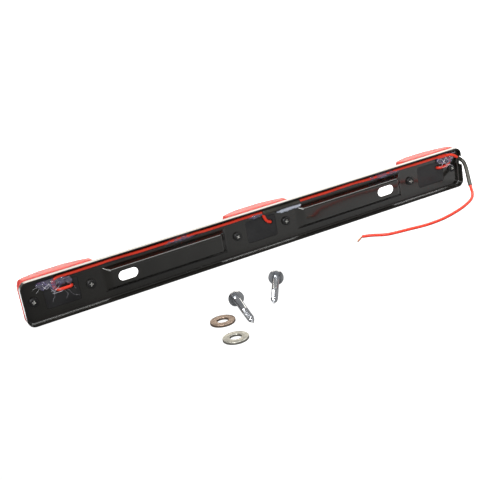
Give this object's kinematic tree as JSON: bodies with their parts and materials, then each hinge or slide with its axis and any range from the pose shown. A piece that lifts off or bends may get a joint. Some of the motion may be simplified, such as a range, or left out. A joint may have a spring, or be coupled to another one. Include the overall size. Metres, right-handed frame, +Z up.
{
  "type": "trailer identification light bar",
  "caption": "Slim steel light bar with three arched red lamps, seen wired along its back, with mounting slots and loose fixing hardware.",
  "frame": {"origin": "middle of the mounting plane, centred between the two slots, on the plane of the tray's back rim and pads", "axes": "+X along the bar, -Y out of the back towards the surface it is screwed to, +Y out through the lenses, +Z up"},
  "size_m": [0.3628, 0.1513, 0.0318],
  "materials": {
    "black_paint": "gloss",
    "red_lens": "gloss",
    "black_plastic": "satin",
    "board": "satin",
    "led_body": "gloss",
    "resistor_body": "satin",
    "diode_body": "gloss",
    "tinned_metal": "satin",
    "black_screw": "satin",
    "black_sleeve": "satin",
    "red_wire": "gloss",
    "copper": "satin",
    "hot_glue": "gloss",
    "zinc": "satin",
    "yellow_zinc": "satin"
  },
  "bodies": {
    "bar": {"tray": "black_paint", "lens_left": "red_lens", "lens_centre": "red_lens", "lens_right": "red_lens", "lamp_base_left": "black_plastic", "lamp_base_centre": "black_plastic", "lamp_base_right": "black_plastic", "circuit_board_left": "board", "circuit_board_centre": "board", "circuit_board_right": "board", "leds_left": "led_body", "leds_centre": "led_body", "leds_right": "led_body", "resistor_left": "resistor_body", "resistor_centre": "resistor_body", "resistor_right": "resistor_body", "diode_left": "diode_body", "diode_centre": "diode_body", "diode_right": "diode_body", "earth_contact_left": "tinned_metal", "earth_contact_centre": "tinned_metal", "earth_contact_right": "tinned_metal", "lamp_screws_left": "black_screw", "lamp_screws_centre": "black_screw", "lamp_screws_right": "black_screw", "wire_left": "red_wire", "wire_centre_branch": "red_wire", "wire_right": "red_wire", "wire_right_branch": "red_wire", "splice_sleeve": "black_sleeve", "end_crimp": "black_sleeve", "glue_left_lamp": "hot_glue", "glue_left_pad": "hot_glue", "glue_centre": "hot_glue", "glue_centre_leaf": "hot_glue", "glue_right_pad": "hot_glue", "glue_right_lamp": "hot_glue", "lead": "red_wire", "lead_sleeve": "black_sleeve", "lead_strands": "copper"},
    "mounting_screw_a": {"mounting_screw_a": "zinc"},
    "mounting_screw_b": {"mounting_screw_b": "zinc"},
    "washer_a": {"washer_a": "yellow_zinc"},
    "washer_b": {"washer_b": "zinc"}
  },
  "joints": [
    {"name": "mounting_screw_a_lift", "type": "slide", "parent": "bar", "child": "mounting_screw_a", "axis": [0, 0, 1], "range_m": [0, 0.08]},
    {"name": "mounting_screw_b_lift", "type": "slide", "parent": "bar", "child": "mounting_screw_b", "axis": [0, 0, 1], "range_m": [0, 0.08]},
    {"name": "washer_a_lift", "type": "slide", "parent": "bar", "child": "washer_a", "axis": [0, 0, 1], "range_m": [0, 0.08]},
    {"name": "washer_b_lift", "type": "slide", "parent": "bar", "child": "washer_b", "axis": [0, 0, 1], "range_m": [0, 0.08]}
  ]
}
